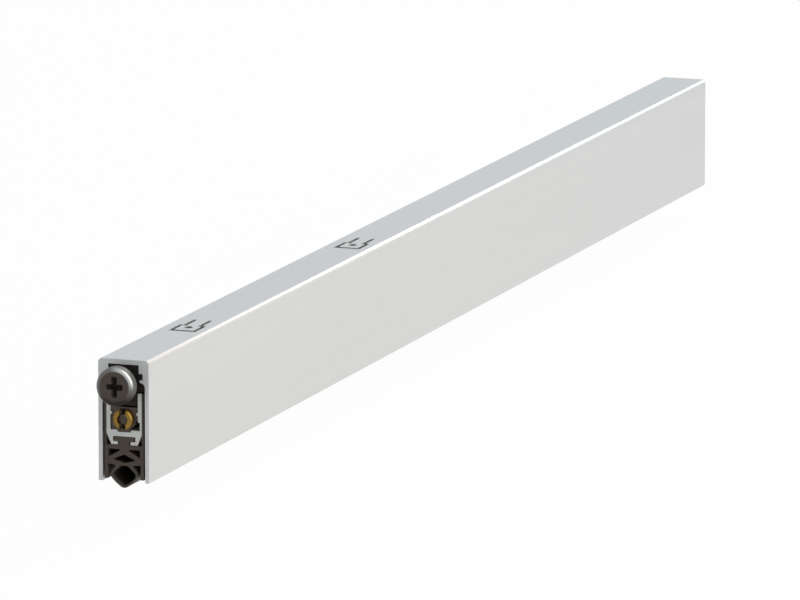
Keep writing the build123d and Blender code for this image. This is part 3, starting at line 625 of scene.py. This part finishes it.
BRASS = new_finish("turned_brass")
brass_grain = apply_effect(BRASS, MATT_GRAIN, **BRASS_GRAIN)
sleeve_axis_z, sleeve_front = turned_axis("brass_sleeve")
on_sleeve = apply_effect(BRASS, TURNED_PLACE, **{"Axis Z": sleeve_axis_z, "Front X": sleeve_front})
brass_tone = run_between(BRASS, brass_grain["Tone"], 0.0, 1.0, GRAIN_TONES)
body = run_between(BRASS, on_sleeve["Radius"], 1.0, 0.0, SLEEVE_BODY)
bore_lit_reach = run_between(BRASS, on_sleeve["Radius"], BORE_LIT_REACH, 0.0, BORE_EDGE)
behind = work_out(BRASS, "SUBTRACT", on_sleeve["Depth"], bore_lit_reach)
sleeve_painted_shade = both_of(BRASS, body, run_between(BRASS, behind, 0.0, 1.0, SHADE_SPAN))
give(
    BRASS,
    Base_Color=blend_tones(BRASS, sleeve_painted_shade, blend_tones(BRASS, brass_tone, *BRASS_TONES), BRASS_PAINTED_SHADE),
    Metallic=run_between(BRASS, sleeve_painted_shade, BRASS_METALLIC, SHADE_METALLIC),
    Roughness=run_between(BRASS, brass_tone, *BRASS_GLOSS),
)
emboss(BRASS, brass_grain["Height"], *BRASS_RELIEF)
dress(BRASS, "brass_sleeve", "thread_insert")


def spigot_mesh(front, axis_z):
    """A round bar along X with its front edge rounded."""
    bm = bmesh.new()
    length = SPIGOT_END - SPIGOT_FRONT
    placed = Matrix.Translation((front + SPIGOT_FRONT + length / 2, 0, axis_z))
    bmesh.ops.create_cone(
        bm, cap_ends=True, segments=SPIGOT_STEPS, radius1=SPIGOT_RADIUS, radius2=SPIGOT_RADIUS, depth=length,
        matrix=placed @ Matrix.Rotation(math.pi / 2, 4, "Y"))
    mouth = [e for e in bm.edges if all(v.co.x < front + SPIGOT_FRONT + MERGE_REACH for v in e.verts)]
    round_edges(bm, mouth, SPIGOT_EDGE)
    return bm


spigot = to_piece("sleeve_spigot", spigot_mesh(sleeve_front, sleeve_axis_z), BROWN)
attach(spigot, "drop_seal")

# PUSH ROD, PINS AND GRUB SCREW
# The rod and the pins across it are drawn steel rod, zinc plated and cut to length. They show only inside.
# The grub screw that clamps the end anchor is blackened like the plunger screw.
ROD_TONES = ((0.48, 0.49, 0.5), (0.6, 0.61, 0.61))
ROD_GLOSS = (0.24, 0.34)
ROD_STREAKS = {"Across": 900.0, "Along": 30.0, "Speckle": 2500.0}
DRAWN_TONES = (0.3, 0.7)
DRAWN_RELIEF = (0.06, 0.02 * MM)
GRUB_TONES = ((0.04, 0.036, 0.034), (0.06, 0.055, 0.052))
GRUB_GLOSS = (0.3, 0.4)
GRUB_GRAIN = {"Grain": 2500.0, "Cloud": 300.0}
GRUB_METALLIC = 0.8


def drawn_steel(name, tones, gloss, streaks):
    """A finish of drawn or rolled steel, with fine lines along X."""
    material = new_finish(name, Metallic=1.0)
    effect = apply_effect(material, DIE_STREAKS, **streaks)
    tone = run_between(material, effect["Tone"], 0.0, 1.0, DRAWN_TONES)
    give(
        material,
        Base_Color=blend_tones(material, tone, *tones),
        Roughness=run_between(material, tone, *gloss),
    )
    emboss(material, effect["Height"], *DRAWN_RELIEF)
    return material


ZINC = drawn_steel("zinc_plated_rod", ROD_TONES, ROD_GLOSS, ROD_STREAKS)
dress(ZINC, "push_rod", "rod_pin_1", "rod_pin_2", "rod_pin_3")
GRUB = grained("blackened_grub_screw", GRUB_TONES, GRUB_GLOSS, GRUB_GRAIN, Metallic=GRUB_METALLIC)
dress(GRUB, "end_anchor_screw")

# RIVETS
# Semi-tubular steel rivets hold the leaf springs to the sliders, the anchors and the saddles.
# They are zinc plated, a little duller than the rod where the set has marked them.
RIVETS = (
    "slider_rivet_1", "slider_rivet_2", "centre_anchor_rivet", "end_anchor_rivet", "saddle_rivet_1",
    "saddle_rivet_2")
RIVET_EDGE = 0.08 * MM
RIVET_TONES = ((0.42, 0.43, 0.44), (0.55, 0.56, 0.56))
RIVET_GLOSS = (0.3, 0.45)
RIVET_GRAIN = {"Grain": 1500.0, "Cloud": 500.0}

RIVET_ZINC = grained("zinc_plated_rivet", RIVET_TONES, RIVET_GLOSS, RIVET_GRAIN, Metallic=1.0)
dress(RIVET_ZINC, *RIVETS)
ease_edges(RIVET_EDGE, *RIVETS)

# LEAF SPRINGS
# Two strips of rolled spring steel, each riveted to a slider, to a saddle in the drop bar and to an anchor.
# The rod shortens their span, so they bow and lower the bar. Each is built as four stretches, end to end.
LEAF_THICKNESS = 0.4 * MM
LEAF_TAB = 9.0 * MM
LEAF_FLEX = 8.0 * MM
LEAF_ON_SADDLE = 16.0 * MM
LEAF_EDGE = 0.08 * MM
LEAF_STEP = 1.5 * MM
LEAF_CORNER = math.radians(60)
LEAF_TONES = ((0.3, 0.31, 0.33), (0.42, 0.42, 0.43))
LEAF_GLOSS = (0.25, 0.38)
LEAF_STREAKS = {"Across": 1200.0, "Along": 15.0, "Speckle": 2500.0}

SPRING = drawn_steel("rolled_spring_steel", LEAF_TONES, LEAF_GLOSS, LEAF_STREAKS)


def bowed_down(top, bow, first, last):
    """The height of a leaf along X: level up to first, then down by bow at last, in two even curves."""
    def height_at(x):
        share = min(max((x - first) / (last - first), 0.0), 1.0)
        down = 2 * share * share if share < 0.5 else 1 - 2 * (1 - share) ** 2
        return top - bow * down
    return height_at


def leaf_stretch(name, first, last, height_at, half_width):
    """A stretch of leaf between two places in X, with its edges rounded by tumbling."""
    bm = bmesh.new()
    steps = max(2, round(abs(last - first) / LEAF_STEP))
    bmesh.ops.create_grid(bm, x_segments=steps, y_segments=1, size=1.0)
    for vert in bm.verts:
        x = first + (last - first) * (vert.co.x + 1) / 2
        vert.co = (x, vert.co.y * half_width, height_at(x))
    grown = bmesh.ops.extrude_face_region(bm, geom=bm.faces[:])["geom"]
    under = [v for v in grown if isinstance(v, bmesh.types.BMVert)]
    bmesh.ops.translate(bm, verts=under, vec=(0, 0, -LEAF_THICKNESS))
    bmesh.ops.recalc_face_normals(bm, faces=bm.faces)
    corners = [e for e in bm.edges if len(e.link_faces) == 2 and e.calc_face_angle() > LEAF_CORNER]
    round_edges(bm, corners, LEAF_EDGE)
    return to_piece(name, bm, SPRING)


for number in (1, 2):
    node = f"leaf_spring_{number}"
    low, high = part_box(node)
    tab_end, far_tab = low.x + LEAF_TAB, high.x - LEAF_TAB
    flex_end = tab_end + LEAF_FLEX
    middle = (low.x + high.x) / 2
    saddle_start, saddle_end = middle - LEAF_ON_SADDLE / 2, middle + LEAF_ON_SADDLE / 2
    bow = high.z - low.z - LEAF_THICKNESS
    near_height = bowed_down(high.z, bow, tab_end, saddle_start)
    far_height = bowed_down(high.z, bow, far_tab, saddle_end)
    tab = leaf_stretch(f"{node}_slider_tab", low.x, tab_end, near_height, high.y)
    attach(tab, "plunger")
    flex = leaf_stretch(f"{node}_near_flex", tab_end, flex_end, near_height, high.y)
    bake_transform(flex)
    near = leaf_stretch(f"{node}_near_half", flex_end, middle, near_height, high.y)
    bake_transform(near)
    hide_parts(node)
    far = leaf_stretch(f"{node}_far_half", middle, high.x, far_height, high.y)
    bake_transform(far)

# FLOOR AND STUDIO
# A plain white floor just under the lowered seal, and an even white room with two softboxes.
# Camera and mirror rays meet plain white there; the floor keeps a faint shadow of the part.
FLOOR_Z = -40.5 * MM
FLOOR_SIZE = 6.0
FLOOR_PAINT = (0.9, 0.89, 0.87, 1.0)
FLOOR_GLOSS = 0.9
FLOOR_WHITE_SHARE = 0.97
WHITE = (1.0, 1.0, 1.0, 1.0)
ROOM_COLOUR = (0.9, 0.97, 1.0, 1.0)
ROOM_LIGHT = 0.3
KEY_STRIP = {
    "direction": (-0.33, -0.78, 0.53), "distance": 1.5, "up": (0.0, 0.5, 0.86), "size": (0.75, 2.25),
    "radiance": 4.0, "colour": (1.0, 0.95, 0.87)}
EDGE_LIGHT = {
    "direction": (0.896, -0.213, 0.388), "distance": 2.5, "up": (0.0, 0.87, 0.5), "size": (0.75, 1.0),
    "radiance": 11.0, "colour": (0.98, 0.99, 1.0)}


def seen_directly(owner):
    """A factor that is 1 for camera, glossy and transmission rays and 0 for all others."""
    path = add_node(owner, "ShaderNodeLightPath", {}).outputs
    either = work_out(owner, "MAXIMUM", path["Is Camera Ray"], path["Is Glossy Ray"])
    return work_out(owner, "MAXIMUM", either, path["Is Transmission Ray"])


def join_surface(owner, output, share, first, second):
    """Sends the output a mix of two shaders by a share of the second."""
    mixed = add_node(owner, "ShaderNodeMixShader", {0: share, 1: first, 2: second}).outputs[0]
    owner.node_tree.links.new(mixed, owner.node_tree.nodes[output].inputs["Surface"])


def softbox(name, direction, distance, up, size, radiance, colour):
    """A rectangular lamp that looks at the part from a direction, with its long side along up."""
    data = bpy.data.lights.new(name, "AREA")
    data.shape, data.size, data.size_y = "RECTANGLE", *size
    data.energy = math.pi * size[0] * size[1] * radiance
    data.color = colour
    item = bpy.data.objects.new(name, data)
    bpy.context.scene.collection.objects.link(item)
    back = Vector(direction).normalized()
    side = Vector(up).cross(back).normalized()
    turn = Matrix((side, back.cross(side), back)).transposed().to_4x4()
    item.matrix_world = Matrix.Translation(back * distance) @ turn


bpy.ops.mesh.primitive_plane_add(size=FLOOR_SIZE, location=(0, 0, FLOOR_Z))
floor = bpy.context.object
floor.name = "floor"
PAPER = new_finish("white_floor", Base_Color=FLOOR_PAINT, Roughness=FLOOR_GLOSS)
paper_shader = PAPER.node_tree.nodes["Principled BSDF"].outputs[0]
paper_white = add_node(PAPER, "ShaderNodeEmission", {"Color": WHITE, "Strength": 1.0}).outputs[0]
paper_share = work_out(PAPER, "MULTIPLY", seen_directly(PAPER), FLOOR_WHITE_SHARE)
join_surface(PAPER, "Material Output", paper_share, paper_shader, paper_white)
floor.data.materials.append(PAPER)

STUDIO = bpy.data.worlds.new("studio")
bpy.context.scene.world = STUDIO
STUDIO.use_nodes = True
room = STUDIO.node_tree.nodes["Background"]
room.inputs["Color"].default_value = ROOM_COLOUR
room.inputs["Strength"].default_value = ROOM_LIGHT
backdrop = add_node(STUDIO, "ShaderNodeBackground", {"Color": WHITE, "Strength": 1.0}).outputs[0]
join_surface(STUDIO, "World Output", seen_directly(STUDIO), room.outputs[0], backdrop)
softbox("key_strip", **KEY_STRIP)
softbox("edge_light", **EDGE_LIGHT)

# CAMERA
# It stands off the plunger end, a little above the part, with a long lens as in the photograph.
# Its place is set from where the middle of the housing's near end lies in the picture.
FOCAL_PX = 9514.0
IMAGE_WIDTH = 800.0
SENSOR_WIDTH = 36.0
AZIMUTH = math.radians(-19.87)
ELEVATION = math.radians(10.93)
END_CENTRE_PX = (-276.4, 120.7)
DISTANCE = 2.284
NEAREST = 0.1
FARTHEST = 20.0

scene = bpy.context.scene
scene.view_settings.view_transform = "Standard"
lens = bpy.data.cameras.new("camera")
lens.sensor_width = SENSOR_WIDTH
lens.lens = FOCAL_PX / IMAGE_WIDTH * SENSOR_WIDTH
lens.clip_start, lens.clip_end = NEAREST, FARTHEST
camera = bpy.data.objects.new("camera", lens)
scene.collection.objects.link(camera)
scene.camera = camera
level = math.cos(ELEVATION)
forward = Vector((level * math.cos(AZIMUTH), -level * math.sin(AZIMUTH), -math.sin(ELEVATION)))
right = forward.cross(Vector((0, 0, 1))).normalized()
up = right.cross(forward)
low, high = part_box("housing")
end_centre = Vector((low.x, 0, (low.z + high.z) / 2))
metres_per_px = DISTANCE / FOCAL_PX
aside, above = -END_CENTRE_PX[0] * metres_per_px, END_CENTRE_PX[1] * metres_per_px
camera.location = end_centre + aside * right + above * up - DISTANCE * forward
camera.rotation_euler = forward.to_track_quat("-Z", "Y").to_euler()
